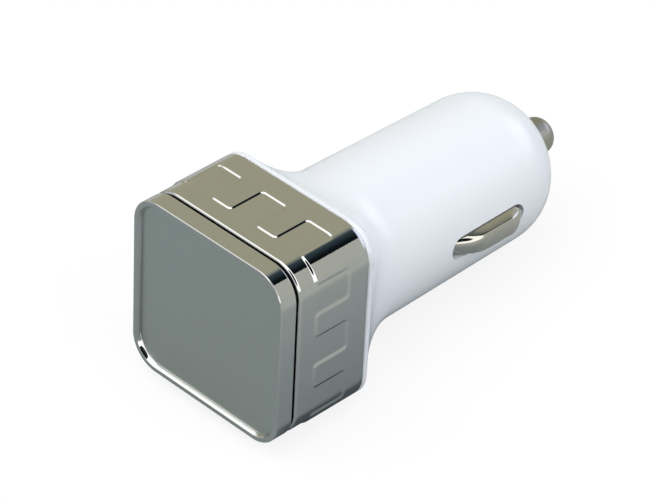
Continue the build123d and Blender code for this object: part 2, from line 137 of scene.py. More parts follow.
def surface(name, light, dark, scale, smooth, rough, bump, **sockets):
    """A Principled material over the shared grain.

    scale is grains to the metre, bump the relief in millimetres, and sockets the shader's constant
    values, with underscores for the spaces in their names.
    """
    material = bpy.data.materials.new(name)
    material.use_nodes = True
    tree = material.node_tree
    shader = tree.nodes["Principled BSDF"]
    for socket, value in sockets.items():
        shader.inputs[socket.replace("_", " ")].default_value = value
    grain = put(
        tree,
        "ShaderNodeGroup",
        {"Light": (*light, 1), "Dark": (*dark, 1), "Scale": scale, "Smooth": smooth, "Rough": rough},
        node_tree=GRAIN,
        name="Grain",
    )
    relief = put(tree, "ShaderNodeBump", {"Height": grain.outputs["Height"], "Distance": bump * MM})
    tree.links.new(grain.outputs["Color"], shader.inputs["Base Color"])
    tree.links.new(grain.outputs["Roughness"], shader.inputs["Roughness"])
    tree.links.new(relief.outputs["Normal"], shader.inputs["Normal"])
    return material


def dress(material, *nodes):
    """Gives construction solids that stay in view their finish."""
    for node in nodes:
        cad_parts[node].material_slots[0].material = material


dress(
    surface("solder_resist", (0.06, 0.26, 0.11), (0.03, 0.16, 0.07), 900, 0.25, 0.4, 0.02),
    "circuit_board",
)
dress(
    surface("chip_epoxy", (0.04, 0.04, 0.042), (0.02, 0.02, 0.022), 2500, 0.45, 0.65, 0.02),
    "converter_chip",
    "rectifier_diode",
    "chip_resistors",
)
dress(
    surface("ceramic", (0.56, 0.44, 0.3), (0.44, 0.34, 0.22), 2500, 0.4, 0.55, 0.01),
    "chip_capacitors",
)
dress(
    surface("ferrite", (0.08, 0.08, 0.08), (0.04, 0.04, 0.045), 3000, 0.5, 0.75, 0.03),
    "inductor_core",
)
dress(
    surface("enamelled_copper", (0.7, 0.33, 0.14), (0.5, 0.2, 0.08), 1500, 0.2, 0.35, 0.02, Metallic=1.0),
    "inductor_winding",
)
dress(
    surface("can_aluminium", (0.72, 0.74, 0.76), (0.58, 0.6, 0.62), 1200, 0.25, 0.4, 0.005, Metallic=1.0),
    "input_capacitor",
    "output_capacitor",
)


# Two USB receptacles, one above and one below the board.
# Each is a folded tin-plated steel shell round a plastic tongue with four gilt contact strips, and
# shows in the panel's openings when the front cover is off.
dress(
    surface("tinned_steel", (0.74, 0.74, 0.73), (0.6, 0.6, 0.6), 700, 0.2, 0.34, 0.004, Metallic=1.0),
    "usb_shell_upper",
    "usb_shell_lower",
)
dress(
    surface("tongue_plastic", (0.86, 0.86, 0.85), (0.8, 0.8, 0.79), 1500, 0.4, 0.55, 0.01),
    "usb_tongue_upper",
    "usb_tongue_lower",
)
dress(
    surface("gilding", (0.93, 0.72, 0.33), (0.8, 0.58, 0.22), 1500, 0.15, 0.3, 0.003, Metallic=1.0),
    "usb_strips_upper",
    "usb_strips_lower",
)


# Port panel.
# A black moulded panel with a fine spark-eroded grain, pressed into the collar behind the cover.
# Its rim is the dark line between the cover and the trim ring.
dress(
    surface("panel_black", (0.03, 0.03, 0.033), (0.018, 0.018, 0.02), 4000, 0.4, 0.6, 0.02),
    "port_panel",
)


# Spring terminal and tip spring.
# A brass seat clipped over the board's end carries the current from a coil of round spring wire,
# which sits on the tip contact's boss and shortens as the tip goes in.
dress(
    surface("terminal_brass", (0.78, 0.62, 0.3), (0.62, 0.47, 0.2), 1200, 0.25, 0.4, 0.004, Metallic=1.0),
    "spring_terminal",
)

SPRING_WIRE_RADIUS = 0.225
SPRING_TURNS = 5
SPRING_STEPS_PER_TURN = 48
WIRE_POINTS = 12
SHARP_ANGLE = 35.0
MERGE_DISTANCE = 1e-7


def box_mm(node):
    """A solid's lowest and highest corners, in millimetres."""
    return [np.array(corner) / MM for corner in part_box(node)]


def skin(name, *shells, sharp=SHARP_ANGLE):
    """A piece of one or more closed shells, each a pair of its rings and how it ends.

    Rings are points in millimetres, as (ring, point, axis), and neighbouring rings are joined by
    quads. A "joined" shell runs from its last ring into its first, a "capped" one has a flat face
    on both, and a "pinched" one ends in rings shrunk to a line, whose points are merged.
    """
    points = []
    faces = []
    total = 0
    for rings, ends in shells:
        index = total + np.arange(rings.shape[0] * rings.shape[1]).reshape(rings.shape[:2])
        total += index.size
        points.append(rings.reshape(-1, 3))
        here = index if ends == "joined" else index[:-1]
        beyond = np.roll(index, -1, axis=0)[: len(here)]
        next_beyond = np.roll(beyond, -1, axis=1)
        next_here = np.roll(here, -1, axis=1)
        quads = np.stack([here, beyond, next_beyond, next_here], axis=-1)
        faces += quads.reshape(-1, 4).tolist()
        if ends == "capped":
            faces += [index[0].tolist(), index[-1, ::-1].tolist()]
    mesh = bpy.data.meshes.new(name)
    mesh.from_pydata((np.vstack(points) * MM).tolist(), [], faces)
    if any(ends == "pinched" for rings, ends in shells):
        merged = bmesh.new()
        merged.from_mesh(mesh)
        bmesh.ops.remove_doubles(merged, verts=merged.verts, dist=MERGE_DISTANCE)
        merged.to_mesh(mesh)
        merged.free()
    mesh.shade_smooth()
    mesh.set_sharp_from_angle(angle=math.radians(sharp))
    piece = bpy.data.objects.new(name, mesh)
    piece.modifiers.new("flat_faces", "WEIGHTED_NORMAL").keep_sharp = True
    bpy.context.scene.collection.objects.link(piece)
    return piece


def stand_for(piece, node, body, material):
    """The piece takes the place of a construction solid, rides on its body and has its finish."""
    piece.data.materials.append(material)
    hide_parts(node)
    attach(piece, body)


def spring_coil(low, high):
    """Round wire about the plug's axis: a circle carried square to a helix of constant pitch."""
    start = low[1] + SPRING_WIRE_RADIUS
    length = high[1] - low[1] - 2 * SPRING_WIRE_RADIUS
    radius = high[0] - SPRING_WIRE_RADIUS
    share = np.linspace(0, 1, SPRING_TURNS * SPRING_STEPS_PER_TURN + 1)[:, None]
    turn = 2 * np.pi * SPRING_TURNS * share
    outward = np.hstack([np.cos(turn), np.zeros_like(turn), np.sin(turn)])
    centre = radius * outward + [0, 1, 0] * (start + length * share)
    along = np.gradient(centre, axis=0)
    along /= np.linalg.norm(along, axis=1, keepdims=True)
    across = np.cross(along, outward)
    round_wire = np.linspace(0, 2 * np.pi, WIRE_POINTS, endpoint=False)[None, :, None]
    ring = np.cos(round_wire) * outward[:, None] + np.sin(round_wire) * across[:, None]
    return centre[:, None] + SPRING_WIRE_RADIUS * ring


spring_low, spring_high = box_mm("tip_spring")
tip_spring = skin("coil_spring", (spring_coil(spring_low, spring_high), "capped"))
stand_for(
    tip_spring,
    "tip_spring",
    "plug",
    surface("spring_wire", (0.6, 0.6, 0.59), (0.48, 0.48, 0.48), 900, 0.2, 0.32, 0.003, Metallic=1.0),
)
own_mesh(tip_spring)


# Tip contact.
# A turned brass pin with a domed end, nickel plated and tumbled dull. Its flange rests behind the
# nose's bore and the spring keeps it there.
TIP_RADIUS = 2.5
TIP_ROUND = 1.73
TIP_EDGE = 0.12
TIP_FLANGE_THICK = 1.2
TIP_BOSS_RADIUS = 1.4
TIP_BOSS_LENGTH = 2.0
TURNED_POINTS = 96


def eased(corners, reach, steps=8):
    """A line through corners, each cut back by its reach and bridged by a circular arc.

    The arc is a rational parabola with the corner as its pole, weighted by the cosine of half the
    turn.
    """
    corners = np.asarray(corners, float)
    share = np.linspace(0, 1, steps + 1)[:, None]
    stretches = [corners[:1]]
    for before, corner, after, cut in zip(corners[:-2], corners[1:-1], corners[2:], reach):
        behind = (before - corner) / np.linalg.norm(before - corner)
        ahead = (after - corner) / np.linalg.norm(after - corner)
        pull = 2 * math.sqrt((1 - ahead @ behind) / 2) * share * (1 - share)
        start = (1 - share) ** 2 * (corner + cut * behind)
        end = share**2 * (corner + cut * ahead)
        arc = (start + pull * corner + end) / ((1 - share) ** 2 + pull + share**2)
        stretches.append(arc if cut else corner[None])
    stretches.append(corners[-1:])
    return np.vstack(stretches)


def turned(profile):
    """A profile of radius and distance along the plug, turned about the plug's axis."""
    angle = np.linspace(0, 2 * np.pi, TURNED_POINTS, endpoint=False)
    radius = profile[:, :1]
    along = np.repeat(profile[:, 1:], TURNED_POINTS, axis=1)
    return np.stack([radius * np.cos(angle), along, radius * np.sin(angle)], axis=-1)


tip_low, tip_high = box_mm("tip_contact")
flange_radius = tip_high[0]
flange_back = tip_low[1] + TIP_BOSS_LENGTH
flange_front = flange_back + TIP_FLANGE_THICK
tip_profile = eased(
    [
        (TIP_BOSS_RADIUS - TIP_EDGE, tip_low[1]),
        (TIP_BOSS_RADIUS, tip_low[1]),
        (TIP_BOSS_RADIUS, flange_back),
        (flange_radius, flange_back),
        (flange_radius, flange_front),
        (TIP_RADIUS, flange_front),
        (TIP_RADIUS, tip_high[1]),
        (TIP_RADIUS - TIP_ROUND, tip_high[1]),
    ],
    [0, TIP_EDGE, TIP_EDGE, TIP_EDGE, 0, TIP_ROUND],
    steps=12,
)
stand_for(
    skin("tip_pin", (turned(tip_profile), "capped")),
    "tip_contact",
    "tip",
    surface(
        "tumbled_nickel", (0.37, 0.36, 0.325), (0.32, 0.31, 0.28), 900, 0.3, 0.4, 0.004, Metallic=1.0
    ),
)


# Side contacts.
# Spring strip pressed into a hollow bump that stands out of the slot in the barrel, then nickel
# plated. A leaf tail inside lets it give, and a foot under the nose end stops it.
BUMP_LENGTH = 12.5
BUMP_WIDTH = 3.1
BUMP_LEAN = math.radians(18)
BUMP_DRAW_IN = 0.34
BUMP_KNEE = 0.6
BUMP_KNEE_HALF = 0.02
CROWN_LEAN = math.radians(16)
EDGE_AT_HEAD = 1.25
EDGE_AT_NOSE = 0.35
EDGE_CHANGE = (18.0, 23.0)
BUMP_SHEET = 0.4
BUMP_CENTRE = 23.35
CREST_HEAD = 20.5
CREST_NOSE = 27.3
HEAD_SLOPE = 35.0
NOSE_SLOPE = 27.0
CREST_ROUND = 4.0
LEAF_WIDTH = 1.8
END_STEPS = 20
SIDE_STEPS = 44
EDGE_ROWS = 10
CROWN_ROWS = 5


def crest_drop(distance, slope):
    """How far the bump's ridge has dropped at a distance past its corner.

    It is flat at first, then follows an arc, then falls at a straight slope.
    """
    lean = math.radians(slope)
    into_arc = np.clip(distance + CREST_ROUND * math.tan(lean / 2), 0, CREST_ROUND * math.sin(lean))
    arc = CREST_ROUND - np.sqrt(CREST_ROUND**2 - into_arc**2)
    arc_end = CREST_ROUND * (math.sin(lean) - math.tan(lean / 2))
    return arc + np.maximum(distance - arc_end, 0) * math.tan(lean)


def pressed_bump(base, crest):
    """The right-hand bump as rings that follow the slot's outline and shrink to its middle line.

    From the base up: walls that stand straight to the knee and then draw in on the upper side, an
    edge that is rounder at the head end, and a crowned ridge that falls off towards both ends. The
    hollow below follows one sheet's thickness inside.
    """
    middle_half = (BUMP_LENGTH - BUMP_WIDTH) / 2
    end = np.linspace(-np.pi / 2, np.pi / 2, END_STEPS, endpoint=False)
    side = np.linspace(1, -1, SIDE_STEPS, endpoint=False)
    place = np.concatenate([np.ones(END_STEPS), side, -np.ones(END_STEPS), -side])
    sideways = np.full(SIDE_STEPS, np.pi / 2)
    facing = np.concatenate([end, sideways, end + np.pi, -sideways])

    half = BUMP_WIDTH / 2
    outline = BUMP_CENTRE + middle_half * place + half * np.cos(facing)
    nearer_head = np.clip((EDGE_CHANGE[1] - outline) / (EDGE_CHANGE[1] - EDGE_CHANGE[0]), 0, 1)
    edge = EDGE_AT_NOSE + (EDGE_AT_HEAD - EDGE_AT_NOSE) * nearer_head**2 * (3 - 2 * nearer_head)
    upper = (1 + np.sin(facing)) / 2
    turn = np.linspace(BUMP_LEAN * upper, np.pi / 2 - CROWN_LEAN, EDGE_ROWS)
    edge_reach = half - BUMP_DRAW_IN * upper - edge * (np.cos(turn[0]) - np.cos(turn))
    crown = edge_reach[-1] * math.tan(CROWN_LEAN) / 2
    edge_sink = crown + edge * (np.sin(turn[-1]) - np.sin(turn))
    top = np.linspace(1, 0, CROWN_ROWS + 1)[1:, None]
    above_knee = BUMP_KNEE + BUMP_KNEE_HALF
    below_knee = BUMP_KNEE - BUMP_KNEE_HALF
    up_wall = np.array([0, BUMP_KNEE / 2, below_knee, above_knee, (1 + BUMP_KNEE) / 2])[:, None]
    drawn_in = BUMP_DRAW_IN * upper * np.maximum(up_wall - BUMP_KNEE, 0) / (1 - BUMP_KNEE)
    hollow = (half - BUMP_SHEET) * np.array([0, 0.25, 0.5, 1])[:, None]

    reach = np.vstack(
        [
            hollow * np.ones_like(facing),
            half - drawn_in,
            edge_reach,
            edge_reach[-1] * top,
        ]
    )
    sink = np.vstack(
        [
            np.tile(BUMP_SHEET + crown, (len(hollow), 1)),
            np.tile(edge_sink[0], (len(up_wall), 1)),
            edge_sink,
            crown * top**2,
        ]
    )
    rise = np.concatenate([[1, 1, 1, 0], up_wall[:, 0], np.ones(EDGE_ROWS + CROWN_ROWS)])[:, None]
    along = BUMP_CENTRE + middle_half * place + reach * np.cos(facing)
    across = reach * np.sin(facing)
    ridge = crest - crest_drop(CREST_HEAD - along, HEAD_SLOPE)
    ridge -= crest_drop(along - CREST_NOSE, NOSE_SLOPE)
    height = base + rise * (ridge - sink - base)
    return np.stack([height, along, across], axis=-1)[:, ::-1]


def strip(low, high):
    """A flat strip between two opposite corners, as two rings of four points."""
    square = np.array([(0, 0), (1, 0), (1, 1), (0, 1)])
    ring = low[::2] + square * (high[::2] - low[::2])
    rings = np.zeros((2, 4, 3))
    rings[:, :, 0::2] = ring
    rings[:, :, 1] = np.array([low[1], high[1]])[:, None]
    return rings


NICKEL = surface(
    "bright_nickel", (0.5, 0.49, 0.445), (0.45, 0.44, 0.4), 500, 0.08, 0.14, 0.003, Metallic=1.0
)
contact_low, contact_high = box_mm("side_contact_right")
bump = pressed_bump(contact_low[0], contact_high[0])
leaf_faces = np.array([contact_low[0], contact_low[0] + BUMP_SHEET])
tail_end = BUMP_CENTRE - BUMP_LENGTH / 2 + BUMP_SHEET
foot_start = BUMP_CENTRE + BUMP_LENGTH / 2 - BUMP_SHEET
leaves = [
    strip(
        np.array([leaf_faces[0], start, -LEAF_WIDTH / 2]),
        np.array([leaf_faces[1], end, LEAF_WIDTH / 2]),
    )
    for start, end in ((contact_low[1], tail_end), (foot_start, contact_high[1]))
]
contact_sides = (
    ("right", np.array([1, 1, 1]), slice(None)),
    ("left", np.array([-1, 1, 1]), slice(None, None, -1)),
)
for side_name, flip, order in contact_sides:
    shells = [((bump * flip)[:, order], "pinched")]
    shells += [((leaf * flip)[:, order], "capped") for leaf in leaves]
    stand_for(
        skin(f"contact_{side_name}", *shells),
        f"side_contact_{side_name}",
        f"contact_{side_name}",
        NICKEL,
    )


# Body shell.
# One glossy white moulding: the collar inside the trim ring, a thin flange, a neck that runs from
# square to round, the tapered barrel with a slot each side, and the domed nose with the tip's bore.
FLANGE_THICK = 0.75
FLANGE_CORNER = 4.1
SIDE_CROWN = 0.03
FLATNESS = 1e-4
SHOULDER_REACH = 0.24
NECK_LENGTH = 8.6
NECK_HOLLOW = 3.2
NECK_ROUNDING = 2.3
NECK_START = 0.5
ROOT_RADIUS = 10.37
BARREL_DRAFT = 0.95
NOSE_START = 31.6
NOSE_END = 40.03
NOSE_FLAT = 1.71
NOSE_WALL = 2.0
BORE_RADIUS = 2.6
SEAT_RADIUS = 4.0
SHELL_WALL = 1.5
COLLAR_CORNER = 2.85
COLLAR_HALF = 11.35
POCKET_CORNER = COLLAR_CORNER - SHELL_WALL / 4
SLOT_LENGTH = 13.0
SLOT_WIDTH = 3.2
SECTION_STEPS = 28
SLOT_POINTS = 64
NECK_ROWS = 34
BARREL_ROWS = 47
NOSE_ROWS = 40
FUNNEL_ROWS = 13
EIGHTH = math.pi / 8


def crowned_rings(rows):
    """Sections across the plug, from rows of distance along it, half width, half flat and crown.

    Each section has four sides bowed by the crown, met by corner arcs tangent to them. With a flat
    and crown of an eighth turn's sine and versine it is a circle.
    """
    along, half, flat, crown = (column[:, None] for column in np.asarray(rows, float).T)
    bow = (flat**2 + crown**2) / (2 * crown)
    share = (half - bow) / (flat + crown - bow)
    lean = np.arcsin(flat / bow)
    sweep = np.linspace(-1, 1, SECTION_STEPS, endpoint=False)
    side = lean * sweep
    corner = math.pi / 4 + (math.pi / 4 - lean) * sweep
    bend = (1 - share) * bow
    out = np.hstack([half - bow + bow * np.cos(side), share * flat + bend * np.cos(corner)])
    up = np.hstack([bow * np.sin(side), share * flat + bend * np.sin(corner)])
    across = np.hstack([out, -up, -out, up])
    height = np.hstack([up, out, -up, -out])
    return np.stack([across, np.broadcast_to(along, across.shape), height], axis=-1)


def round_rows(along, radius):
    """Rows of circular sections."""
    along, radius = np.broadcast_arrays(along, np.asarray(radius, float))
    flat = radius * math.sin(EIGHTH)
    crown = radius * (1 - math.cos(EIGHTH))
    return np.stack([along, radius, flat, crown], axis=-1)


def square_row(along, half, corner, crown=FLATNESS):
    """The row of one square section with round corners."""
    return np.array([(along, half, half - corner, crown)])


def neck_rows(along, half, corner, radius):
    """Rows from a square to a circle.

    The width falls as one power of the length that is left, and the squareness as another.
    """
    left = 1 - along / NECK_LENGTH
    squareness = left**NECK_ROUNDING
    width = radius + (half - radius) * left**NECK_HOLLOW
    flat = radius * math.sin(EIGHTH) * (1 - squareness) + (half - corner) * squareness
    crown = radius * (1 - math.cos(EIGHTH)) * (1 - squareness) + SIDE_CROWN * squareness
    return np.stack([along, width, flat, crown], axis=-1)


def slot_cutter(reach):
    """A round-ended bar right through the barrel, from side to side."""
    turn = np.linspace(0, 2 * np.pi, SLOT_POINTS, endpoint=False)
    straight = (SLOT_LENGTH - SLOT_WIDTH) / 2
    along = BUMP_CENTRE + np.sign(np.cos(turn)) * straight + SLOT_WIDTH / 2 * np.cos(turn)
    rings = np.zeros((2, SLOT_POINTS, 3))
    rings[:, :, 0] = np.array([-reach, reach])[:, None]
    rings[:, :, 1] = along
    rings[:, :, 2] = SLOT_WIDTH / 2 * np.sin(turn)
    return rings[:, ::-1]


body_low, body_high = box_mm("body_shell")
flange_half = body_high[0]
barrel_along = np.linspace(NECK_LENGTH, NOSE_START, BARREL_ROWS)
barrel_radius = ROOT_RADIUS - (barrel_along - NECK_LENGTH) * math.tan(math.radians(BARREL_DRAFT))
nose_radius = barrel_radius[-1]
cavity_end = NOSE_END - NOSE_WALL
bore_turn = math.acos((BORE_RADIUS - NOSE_FLAT) / (nose_radius - NOSE_FLAT))
nose_turn = np.linspace(0, bore_turn, NOSE_ROWS)[1:]
shoulder = eased(
    np.vstack(
        [
            square_row(-FLANGE_THICK, flange_half, FLANGE_CORNER, SIDE_CROWN),
            square_row(0, flange_half, FLANGE_CORNER, SIDE_CROWN),
            neck_rows(np.array([NECK_START]), flange_half, FLANGE_CORNER, ROOT_RADIUS),
        ]
    ),
    [SHOULDER_REACH],
)
neck_along = np.linspace(NECK_START, NECK_LENGTH, NECK_ROWS)[1:-1]
pocket_half = COLLAR_HALF - SHELL_WALL
funnel_along = np.linspace(NECK_LENGTH, 0, FUNNEL_ROWS)[1:]
body_rows = np.vstack(
    [
        square_row(body_low[1], COLLAR_HALF, COLLAR_CORNER),
        square_row(-FLANGE_THICK, COLLAR_HALF, COLLAR_CORNER),
        shoulder,
        neck_rows(neck_along, flange_half, FLANGE_CORNER, ROOT_RADIUS),
        round_rows(barrel_along, barrel_radius),
        round_rows(
            NOSE_START + (NOSE_END - NOSE_START) * np.sin(nose_turn),
            NOSE_FLAT + (nose_radius - NOSE_FLAT) * np.cos(nose_turn),
        ),
        round_rows(cavity_end, [BORE_RADIUS, SEAT_RADIUS]),
        round_rows([NOSE_START, NECK_LENGTH], [nose_radius - SHELL_WALL, ROOT_RADIUS - SHELL_WALL]),
        neck_rows(funnel_along, pocket_half, POCKET_CORNER, ROOT_RADIUS - SHELL_WALL),
        square_row(body_low[1], pocket_half, POCKET_CORNER),
    ]
)
body_shell = skin("white_shell", (crowned_rings(body_rows), "joined"))
cutter = skin("slot_cutter", (slot_cutter(flange_half), "capped"))
cut = body_shell.modifiers.new("slots", "BOOLEAN")
cut.object = cutter
cut.operation = "DIFFERENCE"
cut.solver = "EXACT"
cut_shell = body_shell.evaluated_get(bpy.context.evaluated_depsgraph_get())
slotted = bpy.data.meshes.new_from_object(cut_shell)
body_shell.modifiers.remove(cut)
body_shell.data = slotted
body_shell.data.set_sharp_from_angle(angle=math.radians(SHARP_ANGLE))
bpy.data.objects.remove(cutter)
WHITE = surface(
    "gloss_white",
    (0.81, 0.836, 0.882),
    (0.79, 0.816, 0.862),
    120,
    0.16,
    0.24,
    0.002,
    Coat_Weight=0.3,
    Coat_Roughness=0.05,
)
stand_for(body_shell, "body_shell", "plug", WHITE)


# Trim ring.
# A square sleeve moulded in plastic, plated in bright chrome and pressed over the collar. A raised
# band with notches let into its front edge runs round it, with more draft on the left and right.
RELIEF = 0.17
RELIEF_INSET = 2.77
NOTCH_DEPTH = 5.28
NOTCH_WIDTH = 4.24
NOTCH_PITCH = 7.6
NOTCH_CORNER = 0.5
NOTCHES_PER_SIDE = 3
STEP_WIDTH = 0.315
DRAFTED_STEP_WIDTH = 0.57
RING_CORNER = 4.1
RING_WALL = 1.15
RING_EDGE = 0.42
BACK_EDGE = 0.12
RING_SHARP_ANGLE = 60.0
PROBES = 4000
STEP_SPREAD = 0.2
FINE_STEP = 0.05
COARSE_SIDE_STEP = 0.45
COARSE_WALL_STEP = 0.5
FINE_TURN = 0.012
COARSE_TURN = 0.06


def clustered(start, end, places, fine, coarse):
    """Numbers from start to end, closer together near the given places.

    Their step is a share of the distance to the nearest place, from fine up to coarse.
    """
    probe = np.linspace(start, end, PROBES)
    nearest = np.min(np.abs(probe[:, None] - np.asarray(places)), axis=1)
    pace = 1 / np.clip(STEP_SPREAD * nearest, fine, coarse)
    count = np.concatenate([[0], np.cumsum((pace[1:] + pace[:-1]) / 2 * np.diff(probe))])
    steps = np.linspace(0, count[-1], int(round(count[-1])) + 1)
    return np.interp(steps, count, probe)


def square_rings(offset, along, flat, corner, side, bend):
    """Rings round a square with quarter-round corners, each point pushed out by its offset.

    flat is half of a straight side, corner the corner's radius, side the places along each side and
    bend the angles round each corner. offset is (ring, point) and along is (ring).
    """
    share = np.concatenate([side, np.full(len(bend), flat)])
    reach = np.concatenate([np.zeros(len(side)), np.full(len(bend), flat)])
    angle = np.concatenate([np.zeros(len(side)), bend])
    rings = np.zeros((*offset.shape, 3))
    rings[:, :, 1] = along[:, None]
    count = len(share)
    for quarter in range(4):
        here = slice(quarter * count, (quarter + 1) * count)
        radius = corner + offset[:, here]
        out = flat + radius * np.cos(angle)
        up = share + radius * np.sin(angle)
        turn = quarter * math.pi / 2
        rings[:, here, 0] = out * round(math.cos(turn)) - up * round(math.sin(turn))
        rings[:, here, 2] = out * round(math.sin(turn)) + up * round(math.cos(turn))
    return rings


def meander_height(along, across, step_width, line_front):
    """Height of the raised band over the ring's low ground.

    The distance to the low ground is the nearer of the front strip and the round-cornered notches,
    joined with a round inner corner. A smooth step of the given width turns it into a height.
    """
    middle = (NOTCHES_PER_SIDE - 1) / 2
    place = np.clip(np.round(across / NOTCH_PITCH), -middle, middle) * NOTCH_PITCH
    beside = np.abs(across - place)[None] - (NOTCH_WIDTH / 2 - NOTCH_CORNER)
    behind = (along - line_front - NOTCH_DEPTH + NOTCH_CORNER)[:, None]
    outside = np.hypot(np.maximum(beside, 0), np.maximum(behind, 0))
    from_notch = outside + np.minimum(np.maximum(beside, behind), 0) - NOTCH_CORNER
    from_strip = np.broadcast_to((along - line_front)[:, None], from_notch.shape)
    near_notch = np.maximum(NOTCH_CORNER - from_notch, 0)
    near_strip = np.maximum(NOTCH_CORNER - from_strip, 0)
    nearer = np.maximum(NOTCH_CORNER, np.minimum(from_notch, from_strip))
    distance = nearer - np.hypot(near_notch, near_strip)
    share = np.clip(distance / step_width + 0.5, 0, 1)
    return RELIEF * share**2 * (3 - 2 * share)


ring_low, ring_high = box_mm("trim_ring")
ring_half = ring_high[0] - RELIEF
ring_flat = ring_half - RING_CORNER
line_front = ring_low[1] + RELIEF_INSET
line_back = line_front + NOTCH_DEPTH
notch_sides = [
    place * NOTCH_PITCH + edge * NOTCH_WIDTH / 2
    for place in range(-(NOTCHES_PER_SIDE // 2), NOTCHES_PER_SIDE // 2 + 1)
    for edge in (-1, 1)
]
ring_side = clustered(-ring_flat, ring_flat, notch_sides, FINE_STEP, COARSE_SIDE_STEP)
notch_bend = [math.asin((notch_sides[-1] - ring_flat) / (RING_CORNER + RELIEF / 2))]
notch_bend.append(math.pi / 2 - notch_bend[0])
ring_bend = clustered(0, math.pi / 2, notch_bend, FINE_TURN, COARSE_TURN)[1:-1]
bend_across = ring_flat + (RING_CORNER + RELIEF / 2) * np.sin(ring_bend)
bend_across = np.where(ring_bend < math.pi / 4, bend_across, -bend_across[::-1])
ring_across = np.tile(np.concatenate([ring_side, bend_across]), 4)
toward_top = np.concatenate([np.zeros(len(ring_side)), ring_bend / (math.pi / 2)])
toward_top = np.tile(np.concatenate([toward_top, 1 - toward_top]), 2)
ring_step = DRAFTED_STEP_WIDTH + (STEP_WIDTH - DRAFTED_STEP_WIDTH) * toward_top
wall_start = ring_low[1] + RING_EDGE
wall_end = ring_high[1] - BACK_EDGE
wall_along = clustered(wall_start, wall_end, [line_front, line_back], FINE_STEP, COARSE_WALL_STEP)
wall_rise = meander_height(wall_along, ring_across, ring_step, line_front)
front_edge = eased(
    [(-RING_WALL, ring_low[1]), (0, ring_low[1]), (0, ring_low[1] + 2 * RING_EDGE)], [RING_EDGE]
)[:-2]
back_edge = eased([(0, -2 * BACK_EDGE), (0, 0), (-2 * BACK_EDGE, 0)], [BACK_EDGE], steps=4)[2:-1]
ring_points = len(ring_across)
ring_offset = np.vstack(
    [
        np.repeat(front_edge[:, :1], ring_points, axis=1),
        wall_rise,
        wall_rise[-1] + back_edge[:, :1],
        np.full((2, ring_points), -RING_WALL),
    ]
)
ring_along = np.concatenate(
    [front_edge[:, 1], wall_along, ring_high[1] + back_edge[:, 1], [ring_high[1], wall_start]]
)
PLATING = surface(
    "bright_chrome", (0.52, 0.525, 0.515), (0.5, 0.505, 0.495), 260, 0.03, 0.06, 0.003, Metallic=1.0
)
trim_ring = skin(
    "meander_ring",
    (square_rings(ring_offset, ring_along, ring_flat, RING_CORNER, ring_side, ring_bend), "joined"),
    sharp=RING_SHARP_ANGLE,
)
stand_for(trim_ring, "trim_ring", "plug", PLATING)


# Front cover.
# A chrome-plated square frame with a thin lip, bevelled in two steps on its inside. Its spigot pushes
# into the port panel's well, so it comes off with its plate, and a gap parts it from the trim ring.
LIP_CREST = 0.66
LIP_BEVEL_WIDTH = 0.16
LIP_BEVEL_DEPTH = 0.285
LIP_LEDGE = 0.03
LIP_ROUND = 0.17
CREST_ROUND_IN = 0.05
COVER_DEPTH = 2.55
COVER_EDGE = 0.2
COVER_CORNER = 4.1
PLATE_SEAT = 1.38
SPIGOT_HALF = 8.65
SPIGOT_CORNER = 2.125
SPIGOT_WALL = 0.9

cover_low, cover_high = box_mm("front_frame")
cover_half = cover_high[0]
crest_half = cover_half - LIP_CREST
ledge_half = crest_half - LIP_BEVEL_WIDTH
ledge_corner = COVER_CORNER - LIP_CREST - LIP_BEVEL_WIDTH
recess_half = ledge_half - LIP_LEDGE - LIP_BEVEL_WIDTH
recess_corner = ledge_corner - LIP_LEDGE - LIP_BEVEL_WIDTH
ledge_along = cover_low[1] + LIP_BEVEL_DEPTH
cover_back = cover_low[1] + COVER_DEPTH
hollow_half = SPIGOT_HALF - SPIGOT_WALL
hollow_corner = SPIGOT_CORNER - SPIGOT_WALL / 2
cover_rows = eased(
    np.vstack(
        [
            square_row(cover_low[1] + PLATE_SEAT, recess_half, recess_corner),
            square_row(ledge_along + LIP_BEVEL_DEPTH, recess_half, recess_corner),
            square_row(ledge_along, ledge_half - LIP_LEDGE, ledge_corner - LIP_LEDGE),
            square_row(ledge_along, ledge_half, ledge_corner),
            square_row(cover_low[1], crest_half, COVER_CORNER - LIP_CREST),
            square_row(cover_low[1], cover_half, COVER_CORNER),
            square_row(cover_back, cover_half, COVER_CORNER),
            square_row(cover_back, SPIGOT_HALF, SPIGOT_CORNER),
            square_row(cover_high[1], SPIGOT_HALF, SPIGOT_CORNER),
            square_row(cover_high[1], hollow_half, hollow_corner),
            square_row(cover_back, hollow_half, hollow_corner),
        ]
    ),
    [0, 0, 0, CREST_ROUND_IN, LIP_ROUND, COVER_EDGE, 0, 0, 0],
)
stand_for(
    skin("cover_frame", (crowned_rings(cover_rows), "capped")),
    "front_frame",
    "cover",
    PLATING,
)


# Front plate.
# A flat sheet of grey metal with a fine blasted grain, glued into the frame below its lip.
dress(
    surface(
        "blasted_metal", (0.48, 0.503, 0.477), (0.46, 0.483, 0.458), 700, 0.3, 0.4, 0.003, Metallic=1.0
    ),
    "front_plate",
)


